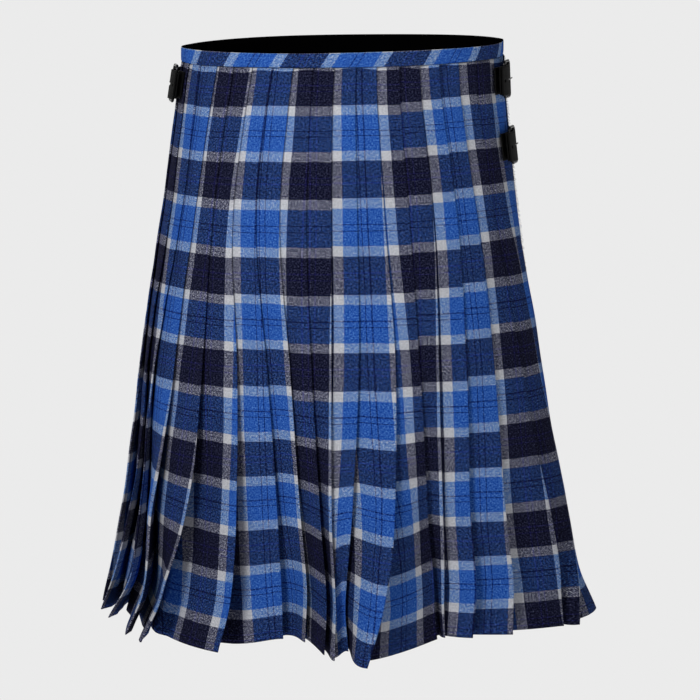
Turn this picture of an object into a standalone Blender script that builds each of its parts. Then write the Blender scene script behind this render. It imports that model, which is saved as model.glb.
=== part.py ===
"""A Scottish kilt, worn shape without a wearer: a knife-pleated back, two flat aprons that lap over
each other at the front, a narrow waistband, a lining at the waist and three buckled leather straps.

Metres, +Z up.  The origin is the centre of the waist.  The wearer faces +Y and has the right hand
at +X, so the pleats face -Y.  An angle round the body is 0 at the centre back, grows towards the
wearer's right (+X), and is 180 at the centre front.
"""
import math

import bmesh
import bpy
from mathutils import Matrix, Vector

MM = 0.001

# The cloth, all in millimetres.
WALL = 1.0              # the kilt cloth
HEM_FULLNESS = 0.4      # what its wall gains by the hem
OPEN_PITCH = 30.0       # outer folds this far apart stand off by their whole lift
LOOP_WIDTH = 5.0        # how far a lifted fold opens its two plies
BAND_WALL = 2.4         # the waistband, two layers on a stiff tape
BAND_HEIGHT = 15.0
LINING_WALL = 1.0
SEAM_GAP = 0.4
HEM = -580.0            # the cut edge below the waist seam
LINING_TOP = 13.0
LINING_DEPTH = 95.0     # how far the lining reaches down inside
LINING_CLEAR = 1.3      # from the lining to the cloth outside it
LINING_BAND_CLEAR = 0.8     # and to the waistband
LINING_EASE = 26.0      # degrees in which the lining passes from the pleats to the aprons
APRON_GAP = 4.2         # from the middle of the under apron to the middle of the over apron
LINING_SPAN = 350.0     # degrees the lining runs round
LINING_STEPS = 40
BAND_EASE = 13.0        # degrees in which the waistband meets an apron's own depth
BAND_FRONT_STEPS = 15
BAND_BACK_STEPS = 22

# The leather and the buckles, in millimetres.
STRAP_WIDTH = 30.0
STRAP_WALL = 1.8
TAB_WIDTH = 28.0
TAB_WALL = 1.5
BUCKLE_HEIGHT = 40.0
BUCKLE_REACH = 22.0     # from the heel bar to the front bar, middle to middle
BUCKLE_CORNER = 4.0
BAR_RADIUS = 1.5
PRONG_RADIUS = 0.8
LEATHER_GAP = 0.4

# One row for each level of the garment: the height, the half width, the half depth behind and in
# front, how far the middle leans to +X, and the step from one layer of cloth to the next in the
# pleats.
LEVEL_COLUMNS = ("z", "half_width", "half_back", "half_front", "lean", "layer")
LEVELS = (
    (0, 167, 126, 126, -1, 1.32),
    (-40, 171, 127, 126, -3, 1.32),
    (-150, 185, 133, 130, -4, 1.34),
    (-300, 208.5, 146, 140, -4, 2.30),
    (-450, 225.5, 161, 151, -1.5, 3.80),
    (-540, 235.5, 171, 157, -2.5, 4.60),
    (-580, 246, 178, 162, 0, 5.00),
)
FOLD_UNDER = 2          # each pleat runs back under this many of its neighbours

# One row for each pleat's outer fold, from the wearer's left to the right: its angle at the waist,
# the hip, the thigh, the knee, a little above the hem and at it, how far the fold stands off the
# layer below it at the hem, how far the whole wave of cloth swings out there, and how much lower
# the hem hangs there.
# The first and last rows are the seams to the two aprons.
FOLD_HEIGHTS = (0.0, -150.0, -300.0, -450.0, -530.0, -580.0)
FOLD_COLUMNS = ("waist", "hip", "thigh", "knee", "edge", "hem", "lift", "swing", "dip")
FOLDS = (
    (-107.0, -107.0, -108.0, -109.0, -110.2, -111.0, 0, 0, 0),
    (-95.0, -95.0, -96.0, -97.5, -99.0, -100.0, 4, 0, 0),
    (-83.5, -82.5, -82.4, -81.6, -85.4, -87.1, 6, 2, 0),
    (-71.9, -71.0, -71.5, -69.5, -72.0, -77.4, 8, 7, 2),
    (-60.3, -61.5, -65.0, -63.9, -60.4, -67.6, 16, 5, 3),
    (-49.8, -53.2, -54.0, -52.9, -50.5, -54.2, 18, 18, 9),
    (-41.5, -44.1, -41.8, -41.1, -43.7, -48.8, 38, 4, 13),
    (-33.0, -35.9, -29.8, -26.0, -24.9, -26.6, 32, 16, 8),
    (-24.8, -27.2, -20.8, -16.7, -14.7, -14.3, 8, -4, 0),
    (-17.2, -19.0, -14.0, -10.6, -8.1, -8.7, 6, 4, 0),
    (-10.0, -10.3, -7.7, -5.1, -3.1, -3.9, 12, 28, 6),
    (-2.6, -2.3, -2.1, -2.3, -1.0, -1.7, 8, 40, 11),
    (5.0, 5.8, 5.6, 2.6, 1.2, 1.2, 8, 22, 4),
    (12.2, 14.5, 15.8, 12.2, 8.6, 4.7, 22, 54, 10),
    (20.4, 22.7, 23.2, 23.0, 24.3, 23.1, 2, -2, 0),
    (28.2, 31.2, 29.4, 27.3, 27.3, 25.6, 8, -6, 0),
    (36.4, 40.5, 38.9, 35.9, 35.8, 32.2, 8, -4, 0),
    (45.0, 49.6, 49.6, 47.2, 48.4, 43.7, 10, 0, 0),
    (54.5, 59.0, 63.6, 67.0, 69.1, 64.2, 10, 3, 2),
    (65.5, 69.8, 79.8, 84.0, 79.5, 69.5, 13, 8, 3),
    (77.0, 81.0, 91.5, 98.5, 98.5, 93.0, 2, 23, 3),
    (89.0, 92.0, 100.0, 105.3, 106.5, 106.5, 0, 8, 0),
    (103.0, 104.0, 109.0, 112.0, 113.3, 114.0, 0, 0, 0),
)
LAST = len(FOLDS) - 1
JOIN = 11               # the pleat in whose hidden fold the two lengths of cloth are joined
SWING_TOP = -190.0      # the pleats are stitched down above this height
TILT_TOP = 0.016        # the waist rises towards +X, and the hem falls
TILT_HEM = -0.018

# The aprons, as angles: the over apron's fringed edge at the fold heights, and, counted by way of
# the wearer's left, where the under apron ends and the slit that lets the left strap out.
APRON_EDGE = (99.5, 102.0, 108.0, 111.0, 112.8, 114.0)
UNDER_EDGE = 118.0
SLIT = (111.2, 114.8)
SLIT_TOP = -3.0
SLIT_FOOT = -41.0
APRON_STEPS = 14
CLOTH_ROWS = (0, -40, -105, -175, -245, -315, -385, -450, -500, -542, -580)


def smooth_table(heights, values, z):
    """A smooth curve through the values at their heights, read at z."""
    if z >= heights[0]:
        return values[0]
    if z <= heights[-1]:
        return values[-1]
    i = 0
    while heights[i + 1] > z:
        i += 1
    t = (heights[i] - z) / (heights[i] - heights[i + 1])

    def slope(j):
        if j == 0 or j == len(values) - 1:
            a, b = max(j - 1, 0), min(j + 1, len(values) - 1)
        else:
            a, b = j - 1, j + 1
        return (values[b] - values[a]) / (heights[a] - heights[b])

    span = heights[i] - heights[i + 1]
    h00 = 2 * t**3 - 3 * t**2 + 1
    h10 = t**3 - 2 * t**2 + t
    h01 = -2 * t**3 + 3 * t**2
    h11 = t**3 - t**2
    return (h00 * values[i] + h10 * span * slope(i)
            + h01 * values[i + 1] + h11 * span * slope(i + 1))


def eased(share):
    """A share from 0 to 1 that starts and ends gently."""
    share = min(max(share, 0.0), 1.0)
    return share * share * (3 - 2 * share)


def level(z, column):
    place = LEVEL_COLUMNS.index(column)
    return smooth_table([row[0] for row in LEVELS], [row[place] for row in LEVELS], z)


def ramp(z):
    """0 where the pleats are stitched, 1 at the hem."""
    return eased((SWING_TOP - z) / (SWING_TOP - HEM))


def around(angle, z, out=0.0):
    """The point of the garment's plain outer form at an angle and height, moved out."""
    a = math.radians(angle)
    half_width = level(z, "half_width")
    half_depth = level(z, "half_back" if math.cos(a) > 0 else "half_front")
    normal = Vector((math.sin(a) / half_width, -math.cos(a) / half_depth)).normalized()
    x = level(z, "lean") + half_width * math.sin(a) + normal.x * out
    y = -half_depth * math.cos(a) + normal.y * out
    return placed(x, y, z), normal


def placed(x, y, z):
    """A point in metres, with the garment's tilt from side to side."""
    t = z / HEM
    return Vector((x, y, z + x * (TILT_TOP * (1 - t) + TILT_HEM * t))) * MM


def solid_from_rows(name, front, back, material, skip=(), turned=()):
    """A closed wall between two grids of points.

    front and back hold one list of points for each row.  skip names grid cells (row, column)
    that are cut out.  The cut and the rim are closed by faces across the wall.  turned names
    the columns that run back under the rest, so that every layer creases along the same line.
    """
    mesh = bmesh.new()
    faces = [[[mesh.verts.new(p) for p in row] for row in grid] for grid in (front, back)]
    rows, columns = len(front), len(front[0])
    whole = {(r, c) for r in range(rows - 1) for c in range(columns - 1)} - set(skip)
    for r, c in sorted(whole):
        a, b = (r, c), (r, c + 1)
        d, e = (r + 1, c), (r + 1, c + 1)
        halves = ((a, b, d), (b, e, d)) if c in turned else ((a, b, e), (a, e, d))
        for half in halves:
            mesh.faces.new([faces[0][i][j] for i, j in half])
            mesh.faces.new([faces[1][i][j] for i, j in reversed(half)])
        sides = (
            ((r - 1, c), a, b), ((r, c + 1), b, e), ((r + 1, c), e, d), ((r, c - 1), d, a),
        )
        for neighbour, p, q in sides:
            if neighbour not in whole:
                mesh.faces.new((faces[0][q[0]][q[1]], faces[0][p[0]][p[1]],
                                faces[1][p[0]][p[1]], faces[1][q[0]][q[1]]))
    loose = [v for v in mesh.verts if not v.link_faces]
    bmesh.ops.delete(mesh, geom=loose, context="VERTS")
    bmesh.ops.recalc_face_normals(mesh, faces=mesh.faces)
    return finish(name, mesh, material)


def finish(name, mesh, material):
    data = bpy.data.meshes.new(name)
    mesh.to_mesh(data)
    mesh.free()
    item = bpy.data.objects.new(name, data)
    bpy.context.scene.collection.objects.link(item)
    data.materials.append(material)
    return item


def plain_material(name, colour, roughness, metallic=0.0):
    material = bpy.data.materials.new(name)
    material.use_nodes = True
    shader = material.node_tree.nodes["Principled BSDF"]
    shader.inputs["Base Color"].default_value = (*colour, 1.0)
    shader.inputs["Roughness"].default_value = roughness
    shader.inputs["Metallic"].default_value = metallic
    return material


# ---------------------------------------------------------------- the pleated back

def fold_value(index, column, z):
    """A fold's angle, or its lift, swing or dip, which grow from the stitching to the hem."""
    if column == "angle":
        return smooth_table(FOLD_HEIGHTS, FOLDS[index][:len(FOLD_HEIGHTS)], z)
    return FOLDS[index][FOLD_COLUMNS.index(column)] * ramp(z) ** 2


def pleat_spot(phase, z, depth):
    """A point inside the pleats: phase counts the outer folds, depth goes in from the outside."""
    k = min(max(int(math.floor(phase)), 0), LAST - 1)
    share = phase - k
    ends = []
    for index in (k, k + 1):
        point, normal = around(fold_value(index, "angle", z), z)
        swing = fold_value(index, "swing", z) - depth
        drop = fold_value(index, "dip", z)
        ends.append(point + Vector((normal.x * swing, normal.y * swing, -drop)) * MM)
    return ends[0].lerp(ends[1], share)


def pleat_pitch(index, z):
    """The way in metres from one outer fold to the next."""
    return (pleat_spot(index + 1, z, 0) - pleat_spot(index, z, 0)).length


def cloth_wall(z):
    """The cloth, a little fuller towards the hem, where the layers stand apart."""
    return WALL + HEM_FULLNESS * ramp(z)


def pleat_section(z, first, last):
    """The two faces of the cloth at one height, from outer fold `first` to `last`.

    Every layer turns at the same phases as its neighbours, and lies one layer deeper, so the
    layers stay side by side however far the folds swing.  The third list names the points of
    the panels that run back.
    """
    layer = level(z, "layer")
    wall = cloth_wall(z)
    front, back, turned = [], [], []

    def put(phase_front, phase_back, depth_front, depth_back, outward, slant=0.0):
        side = wall / 2 * math.sqrt(1 + slant * slant)
        if not outward:
            side = -side
            turned.append(len(front))
        front.append(pleat_spot(phase_front, z, depth_front - side))
        back.append(pleat_spot(phase_back, z, depth_back + side))

    def inner_phase(index):
        return max(index - FOLD_UNDER, 0.06)

    for i in range(first, last + 1):
        pitch = pleat_pitch(i - 1, z) / MM
        turn = wall / pitch
        lift = fold_value(i, "lift", z) * min(pitch / OPEN_PITCH, 1.0)
        # the outer panel, from the hidden fold to the outer fold
        start = 0
        if i > 1:
            start = inner_phase(i - 1)
            inside = start + (wall * MM / pleat_pitch(int(start), z) if i > first else 0)
            put(inside, start, 2 * layer * (i - inside), 2 * layer * (i - start), True)
        for k in (i - 2, i - 1):
            if k > start or k == start == 0:
                put(k, k, 2 * layer * (i - k), 2 * layer * (i - k), True)
        if i == LAST:
            put(i, i, 0.0, 0.0, True)
            continue
        fall = 2 * layer + lift
        put(i, i - turn, -lift, fall * turn - lift, True, fall / pitch)
        # the return panel, under the outer one, back to the next hidden fold
        under = layer - lift + min(0.55 * lift, LOOP_WIDTH)
        fall = 3 * layer - under
        put(i, i - turn, under, under + fall * turn, False, fall / pitch)
        if i - 1 > 0:
            put(i - 1, i - 1, 3 * layer, 3 * layer, False)
        end = inner_phase(i)
        inside = end + (wall * MM / pleat_pitch(int(end), z) if i < last else 0)
        put(inside, end, 2 * layer * (i - inside) + layer, 2 * layer * (i - end) + layer, False)
    return front, back, turned


def pleated_cloth(name, first, last, material):
    sections = [pleat_section(z - SEAM_GAP * (z == 0), first, last) for z in CLOTH_ROWS]
    return solid_from_rows(name, [s[0] for s in sections], [s[1] for s in sections], material,
                           turned=set(sections[0][2]))


# ---------------------------------------------------------------- the aprons

# Every angle in these pieces counts from the centre back by way of the wearer's left.

def left_seam(z):
    return -fold_value(0, "angle", z)


def right_seam(z):
    return 360.0 - fold_value(LAST, "angle", z)


def apron_depth(angle, z):
    """How deep the over apron lies below the plain outer form, from its seam to its free edge."""
    left, right = left_seam(z), right_seam(z)
    share = min(max((angle - left) / (right - left), 0.0), 1.0)
    return 2 * level(z, "layer") * (1 - share) - APRON_GAP * share


def front_wall(z, angle, depth, wall):
    """The two faces of a wall at one angle."""
    return [around(-angle, z, -depth + side * wall / 2)[0] for side in (1, -1)]


def wall_from_depths(name, rows, columns, depth, wall, material, skip=()):
    """A wall with a row at each height and a column at each angle that columns(z) gives."""
    front, back = [], []
    for z in rows:
        pairs = [front_wall(z, angle, depth(angle, z), wall) for angle in columns(z)]
        front.append([p[0] for p in pairs])
        back.append([p[1] for p in pairs])
    return solid_from_rows(name, front, back, material, skip)


def spread(first, last, steps):
    return [first + (last - first) * k / steps for k in range(steps + 1)]


def degrees_for(length, angle, z):
    """The angle that spans a length of cloth at this place."""
    reach = (around(angle + 0.5, z)[0] - around(angle - 0.5, z)[0]).length
    return length * MM / reach


def over_apron_edges(z):
    first = left_seam(z)
    last = 360.0 - smooth_table(FOLD_HEIGHTS, APRON_EDGE, z)
    return first + degrees_for(SEAM_GAP, first, z), last


def apron_rows():
    return [-SEAM_GAP, SLIT_TOP, SLIT_FOOT, *CLOTH_ROWS[2:]]


def over_apron(material):
    """It laps over the under apron, with a cut for the strap that comes from underneath."""
    def columns(z):
        first, last = over_apron_edges(z)
        return [first, SLIT[0], *spread(SLIT[1], last, APRON_STEPS)]

    slit = [(1, 1)]
    return wall_from_depths("over_apron", apron_rows(), columns, apron_depth, WALL, material, slit)


def under_apron(material):
    def columns(z):
        last = right_seam(z)
        return spread(UNDER_EDGE, last - degrees_for(SEAM_GAP, last, z), APRON_STEPS)

    rows = [-SEAM_GAP, *CLOTH_ROWS[1:]]
    return wall_from_depths("under_apron", rows, columns,
                            lambda angle, z: apron_depth(angle, z) + APRON_GAP, WALL, material)


# ---------------------------------------------------------------- fringe

FRINGE_STRANDS = 112
FRINGE_STRIP = 3.0      # the woven part of the strip that the threads stand on
FRINGE_LENGTH = 8.5
FRINGE_TOP = -SEAM_GAP - 1.0
FRINGE_FOOT = HEM + 3.0
FRINGE_TAPER = 0.45     # a thread's tip against its root


def beside_edge(z, reach, out):
    """A point past the over apron's free edge, on the straight runs between the apron's rows."""
    rows = apron_rows()
    k = 0
    while k < len(rows) - 2 and rows[k + 1] > z:
        k += 1
    share = (rows[k] - z) / (rows[k] - rows[k + 1])
    ends = []
    for row in (rows[k], rows[k + 1]):
        edge = over_apron_edges(row)[1]
        angle = edge + degrees_for(reach, edge, row)
        ends.append(around(-angle, row, APRON_GAP + out)[0])
    return ends[0].lerp(ends[1], share)


def fringe(material):
    """A narrow strip beside the over apron's free edge, with a thread from every second cell."""
    mesh = bmesh.new()
    steps = 2 * FRINGE_STRANDS + 1
    pitch = (FRINGE_FOOT - FRINGE_TOP) / steps
    reaches = (SEAM_GAP, SEAM_GAP + FRINGE_STRIP)
    half = WALL / 2
    grids = [[[mesh.verts.new(beside_edge(z, reach, side)) for side in (half, -half)]
              for reach in reaches] for z in spread(FRINGE_TOP, FRINGE_FOOT, steps)]
    for k in range(steps):
        near, far = grids[k], grids[k + 1]
        for loop in ((near[0][0], near[1][0], far[1][0], far[0][0]),
                     (near[0][1], far[0][1], far[1][1], near[1][1]),
                     (near[0][0], far[0][0], far[0][1], near[0][1])):
            mesh.faces.new(loop)
        root = (near[1][0], near[1][1], far[1][1], far[1][0])
        if k % 2 == 0:
            mesh.faces.new(root)
            continue
        length = FRINGE_LENGTH * (1 + 0.16 * math.sin(k * 2.3))
        droop = 1.6 * math.sin(k * 1.7) - 1.2
        out = 0.5 * math.sin(k * 0.9) + 0.2
        tip_z = max(FRINGE_TOP + pitch * (k + 0.5) + droop, FRINGE_FOOT - 2.0)
        aim = beside_edge(tip_z, reaches[1] + length, out)
        centre = sum((v.co for v in root), Vector()) / 4
        tip = [mesh.verts.new(aim + (v.co - centre) * FRINGE_TAPER) for v in root]
        for a in range(4):
            b = (a + 1) % 4
            mesh.faces.new((root[a], root[b], tip[b], tip[a]))
        mesh.faces.new(tip)
    for end in (grids[0], grids[-1]):
        mesh.faces.new((end[0][0], end[0][1], end[1][1], end[1][0]))
    bmesh.ops.recalc_face_normals(mesh, faces=mesh.faces)
    return finish("apron_fringe", mesh, material)


# ---------------------------------------------------------------- waistband and lining

def band_depth_behind(angle):
    """The waistband's middle over the pleats: flush outside, and in to meet the over apron."""
    rise = min(max((angle - right_seam(0)) / BAND_EASE, 0.0), 1.0)
    near = eased(1 - (360.0 + left_seam(0) - angle) / BAND_EASE)
    flush = (BAND_WALL - WALL) / 2
    return flush * rise * (1 - near) + 2 * level(0, "layer") * near


def band_path():
    """Angle and depth of the waistband's middle, from the under apron's edge round the front to
    the wearer's right, round the back, and round the front again on the over apron."""
    left, right = left_seam(0), right_seam(0)
    under = spread(UNDER_EDGE, right, BAND_FRONT_STEPS)[:-1]
    behind = spread(right, 360.0 + left, BAND_BACK_STEPS)[:-1]
    over = spread(left, over_apron_edges(0)[1], BAND_FRONT_STEPS)
    return ([(angle, apron_depth(angle, 0) + APRON_GAP) for angle in under]
            + [(angle, band_depth_behind(angle)) for angle in behind]
            + [(360.0 + angle, apron_depth(angle, 0)) for angle in over])


def waistband(material):
    depths = dict(band_path())
    return wall_from_depths("waistband", (0.0, BAND_HEIGHT / 2, BAND_HEIGHT), lambda z: depths,
                            lambda angle, z: depths[angle], BAND_WALL, material)


def lining_depth(angle, z):
    """How deep the lining lies: sewn behind the waistband at its top, then inside the cloth."""
    turn = angle % 360.0
    left, right = left_seam(0), right_seam(0)
    clear = (WALL + LINING_WALL) / 2 + LINING_CLEAR
    band_clear = (BAND_WALL + LINING_WALL) / 2 + LINING_BAND_CLEAR
    below = min((LINING_TOP - z) / LINING_TOP, 1.0)
    pleats = 2 * level(z, "layer") * (FOLD_UNDER + 1) + clear
    if left < turn < right:
        ahead = apron_depth(turn, z) + APRON_GAP
        share = eased(min(turn - left, right - turn) / LINING_EASE)
        inside = max(ahead + clear, pleats * (1 - share) + (ahead + clear) * share)
        return (ahead + band_clear) * (1 - below) + inside * below
    band = band_depth_behind(turn + 360.0 if turn < right else turn)
    return (band + band_clear) * (1 - below) + pleats * below


def lining(material):
    """It starts behind the under apron's edge and runs once round, clear of itself."""
    start = UNDER_EDGE + 1.5
    columns = spread(start, start + LINING_SPAN, LINING_STEPS)
    return wall_from_depths("waist_lining", (LINING_TOP, 0.0, -40.0, -LINING_DEPTH),
                            lambda z: columns, lining_depth, LINING_WALL, material)


# ---------------------------------------------------------------- straps and buckles

# One row for each strap: the angle of its buckle's heel bar, its height, +1 where its front end
# lies towards the wearer's right and -1 towards the left.
STRAPS = (
    # name, heel_angle, z, side
    ("left_waist", -82.0, -23.0, -1),
    ("right_waist", 77.5, -23.0, 1),
    ("right_hip", 79.0, -91.0, 1),
)
CLOTH_FACE = WALL / 2 + LEATHER_GAP
TAB_LENGTH = 20.0       # behind the heel bar
PRONG_SLIT = 2.6        # half the height of the tab's slot for the prong
SLOT_REACH = 4.6        # how far the tab's slot for the prong runs behind the heel bar
TAB_LOW = CLOTH_FACE + TAB_WALL / 2
HEEL_OUT = CLOTH_FACE + TAB_WALL + LEATHER_GAP + BAR_RADIUS
TAB_HIGH = HEEL_OUT + BAR_RADIUS + LEATHER_GAP + TAB_WALL / 2
FRONT_OUT = HEEL_OUT + 2.2
PRONG_HOLE = 2.2        # half the height of the strap's hole
STRAP_LAP = 28.0        # degrees that a right strap runs on over the apron
STRAP_UNDER = FRONT_OUT - BAR_RADIUS - 2 * LEATHER_GAP - STRAP_WALL / 2
STRAP_OVER = TAB_HIGH + TAB_WALL / 2 + LEATHER_GAP + STRAP_WALL / 2


def leather(name, path, rows, wall, material, skip=()):
    """A strip along a path of (angle, out) with a row of points at each height."""
    front, back = [], []
    for z in rows:
        middles = [around(angle, z, out)[0] for angle, out in path]
        front_row, back_row = [], []
        for k, point in enumerate(middles):
            before = middles[max(k - 1, 0)]
            after = middles[min(k + 1, len(middles) - 1)]
            along = (after - before).to_2d().normalized()
            side = Vector((along.y, -along.x, 0)) * wall / 2 * MM
            first = (point - before).to_2d()
            second = (after - point).to_2d()
            if first.length > 0 and second.length > 0:
                bend = first.normalized().dot(second.normalized())
                side = side / max(math.sqrt((1 + bend) / 2), 0.5)
            front_row.append(point + side)
            back_row.append(point - side)
        front.append(front_row)
        back.append(back_row)
    return solid_from_rows(name, front, back, material, skip)


def shift(angle, z, side, length):
    """The angle that lies a length of leather towards the strap's front end."""
    return angle + side * degrees_for(length, angle, z)


def buckle_tab(name, heel, z, side, material):
    """Leather folded round the heel bar, its two leaves sewn to the cloth behind the buckle."""
    tail = TAB_LENGTH
    path = [(shift(heel, z, side, -tail), TAB_LOW), (shift(heel, z, side, -tail / 2), TAB_LOW),
            (shift(heel, z, side, -SLOT_REACH), TAB_LOW), (heel, TAB_LOW)]
    turn = TAB_HIGH - HEEL_OUT
    for k in range(1, 6):
        a = math.pi * k / 6
        path.append((shift(heel, z, side, turn * math.sin(a)), HEEL_OUT - turn * math.cos(a)))
    path += [(heel, TAB_HIGH), (shift(heel, z, side, -SLOT_REACH), TAB_HIGH),
             (shift(heel, z, side, -tail / 2), TAB_HIGH),
             (shift(heel, z, side, 0.6 - tail), TAB_HIGH)]
    rows = [z + TAB_WIDTH / 2, z + PRONG_SLIT, z - PRONG_SLIT, z - TAB_WIDTH / 2]
    slot = [(1, c) for c in range(2, 10)]
    return leather("buckle_tab_" + name, path, rows, TAB_WALL, material, slot)


def local_frame(heel, z, side):
    """A matrix whose X runs from the heel bar to the front bar, Y up the cloth, Z outwards."""
    centre = around(heel, z, HEEL_OUT)[0]
    ahead = around(shift(heel, z, side, BUCKLE_REACH), z, FRONT_OUT)[0] - centre
    up = around(heel, z + 10, HEEL_OUT)[0] - around(heel, z - 10, HEEL_OUT)[0]
    along = ahead.normalized()
    out = along.cross(up).normalized() * side
    up = out.cross(along).normalized()
    return Matrix((
        (along.x, up.x, out.x, centre.x),
        (along.y, up.y, out.y, centre.y),
        (along.z, up.z, out.z, centre.z),
        (0, 0, 0, 1),
    ))


def tube(name, points, radii, material, closed=False, sides=8):
    """A round bar through points, closed on itself or with capped ends."""
    mesh = bmesh.new()
    rings = []
    count = len(points)
    for k, point in enumerate(points):
        before = points[(k - 1) % count] if closed else points[max(k - 1, 0)]
        after = points[(k + 1) % count] if closed else points[min(k + 1, count - 1)]
        along = (after - before).normalized()
        across = Vector((0, 0, 1)).cross(along)
        if across.length < 0.3:
            across = Vector((0, 1, 0)).cross(along)
        across.normalize()
        over = along.cross(across)
        ring = []
        for s in range(sides):
            a = 2 * math.pi * (s + 0.5) / sides
            ring.append(mesh.verts.new(
                point + (across * math.cos(a) + over * math.sin(a)) * radii[k]))
        rings.append(ring)
    for k in range(count if closed else count - 1):
        for s in range(sides):
            t = (s + 1) % sides
            m = (k + 1) % count
            mesh.faces.new((rings[k][s], rings[m][s], rings[m][t], rings[k][t]))
    if not closed:
        mesh.faces.new(rings[0])
        mesh.faces.new(rings[-1])
    bmesh.ops.recalc_face_normals(mesh, faces=mesh.faces)
    return finish(name, mesh, material)


def buckle_frame(name, heel, z, side, material):
    """A rectangle of round bar with bent corners; its heel side carries the tab."""
    corner = BUCKLE_CORNER
    half = BUCKLE_HEIGHT / 2 - BAR_RADIUS
    points = []
    for cx, cy, begin in ((BUCKLE_REACH - corner, half - corner, 0),
                          (corner, half - corner, 90),
                          (corner, corner - half, 180),
                          (BUCKLE_REACH - corner, corner - half, 270)):
        for k in range(3):
            a = math.radians(begin + 45 * k)
            points.append(Vector((cx + corner * math.cos(a), cy + corner * math.sin(a), 0)) * MM)
    item = tube("buckle_frame_" + name, points, [BAR_RADIUS * MM] * len(points), material, True)
    item.data.transform(local_frame(heel, z, side))
    return item


def buckle_prong(name, heel, z, side, material):
    """A tongue hooked round the heel bar in the tab's slot, its tip resting on the front bar."""
    hook = BAR_RADIUS + LEATHER_GAP + PRONG_RADIUS
    points = [Vector((hook * math.cos(a), 0, hook * math.sin(a))) * MM
              for a in (math.radians(d) for d in (-75, -120, -165, -210, -255))]
    rest = BAR_RADIUS + PRONG_RADIUS + 0.25
    for share, height in ((0.3, hook), (0.7, rest + 0.45), (1.0, rest), (1.12, rest - 0.4)):
        points.append(Vector((BUCKLE_REACH * share, 0, height)) * MM)
    radii = [PRONG_RADIUS * MM] * (len(points) - 1) + [PRONG_RADIUS * 0.6 * MM]
    item = tube("buckle_prong_" + name, points, radii, material, False, 6)
    item.data.transform(local_frame(heel, z, side))
    return item


def strap_path(heel, z, side):
    """From the end of the tail, over the tab and the heel bar, under the front bar."""
    path = [(shift(heel, z, side, -18.0), STRAP_OVER), (shift(heel, z, side, -9.0), STRAP_OVER)]
    for share in (-0.09, 0.12, 0.34, 0.56, 0.74, 0.88, 1.14):
        fall = min(max(share - 0.12, 0.0) / 0.72, 1.0)
        out = STRAP_OVER + (STRAP_UNDER - STRAP_OVER) * fall
        path.append((shift(heel, z, side, BUCKLE_REACH * share), out))
    return path


def strap(name, path, z, material):
    """A strap along its path, with the hole that the prong goes through."""
    rows = [z + STRAP_WIDTH / 2, z + PRONG_HOLE, z - PRONG_HOLE, z - STRAP_WIDTH / 2]
    hole = [(1, c) for c in (2, 3, 4)]
    return leather("strap_" + name, path, rows, STRAP_WALL, material, hole)


def right_strap(name, heel, z, side, material):
    """Its front end lies on the over apron, to which it is sewn."""
    on_apron = APRON_GAP + WALL / 2 + LEATHER_GAP + STRAP_WALL / 2
    edge = 360.0 - over_apron_edges(z)[1]
    path = strap_path(heel, z, side)
    path.append((edge - 5.0, on_apron + 1.6))
    path += [(angle, on_apron) for angle in spread(edge + 2.0, edge + STRAP_LAP, 4)]
    return strap(name, path, z, material)


def left_strap(name, heel, z, side, material):
    """It comes from the under apron's edge through the slit in the over apron."""
    def inside(angle):
        under = apron_depth(angle, z) + APRON_GAP
        return -(under - (WALL + STRAP_WALL) / 2 - LEATHER_GAP)

    path = strap_path(heel, z, side)
    path += [(-106.5, 0.9), (-110.6, 0.4), (-115.6, inside(UNDER_EDGE))]
    path += [(-angle, inside(angle)) for angle in spread(120.0, 141.0, 3)]
    return strap(name, path, z, material)


def build():
    for item in list(bpy.data.objects):
        bpy.data.objects.remove(item, do_unlink=True)
    tartan = plain_material("blue_tartan_wool", (0.05, 0.13, 0.36), 0.85)
    band_cloth = plain_material("waistband_wool", (0.10, 0.24, 0.60), 0.85)
    black_cloth = plain_material("black_lining", (0.008, 0.008, 0.010), 0.7)
    black_leather = plain_material("black_leather", (0.012, 0.012, 0.013), 0.45)
    steel = plain_material("dark_plated_steel", (0.05, 0.05, 0.055), 0.3, 1.0)

    pleated_cloth("pleated_back_left", 1, JOIN, tartan)
    pleated_cloth("pleated_back_right", JOIN + 1, LAST, tartan)
    over_apron(tartan)
    under_apron(tartan)
    fringe(tartan)
    waistband(band_cloth)
    lining(black_cloth)
    for name, heel, z, side in STRAPS:
        buckle_tab(name, heel, z, side, black_leather)
        buckle_frame(name, heel, z, side, steel)
        buckle_prong(name, heel, z, side, steel)
        make = left_strap if side < 0 else right_strap
        make(name, heel, z, side, black_leather)


build()
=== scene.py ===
"""A Scottish kilt in its worn shape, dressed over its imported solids: woven cloth with pressed
knife pleats, two aprons, a waistband, a black lining, leather straps and plated buckles.

Lengths in the tables are in millimetres.  The wearer faces +Y, so the pleats face -Y.
"""
import math
import random

import bmesh
import bpy
from mathutils import Matrix, Vector


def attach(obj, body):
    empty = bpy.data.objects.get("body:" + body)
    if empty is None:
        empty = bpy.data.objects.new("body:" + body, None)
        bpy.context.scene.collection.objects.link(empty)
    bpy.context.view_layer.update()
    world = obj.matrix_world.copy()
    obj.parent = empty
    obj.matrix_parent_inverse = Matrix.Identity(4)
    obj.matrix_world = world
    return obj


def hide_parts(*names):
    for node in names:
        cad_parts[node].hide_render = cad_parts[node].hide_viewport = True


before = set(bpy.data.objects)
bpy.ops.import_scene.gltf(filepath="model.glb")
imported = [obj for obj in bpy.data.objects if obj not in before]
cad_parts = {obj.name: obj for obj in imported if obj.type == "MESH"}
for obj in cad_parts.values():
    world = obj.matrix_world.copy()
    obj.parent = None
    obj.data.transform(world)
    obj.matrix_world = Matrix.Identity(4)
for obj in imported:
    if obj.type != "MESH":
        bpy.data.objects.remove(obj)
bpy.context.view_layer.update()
MM = 0.001
random.seed(11)

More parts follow.
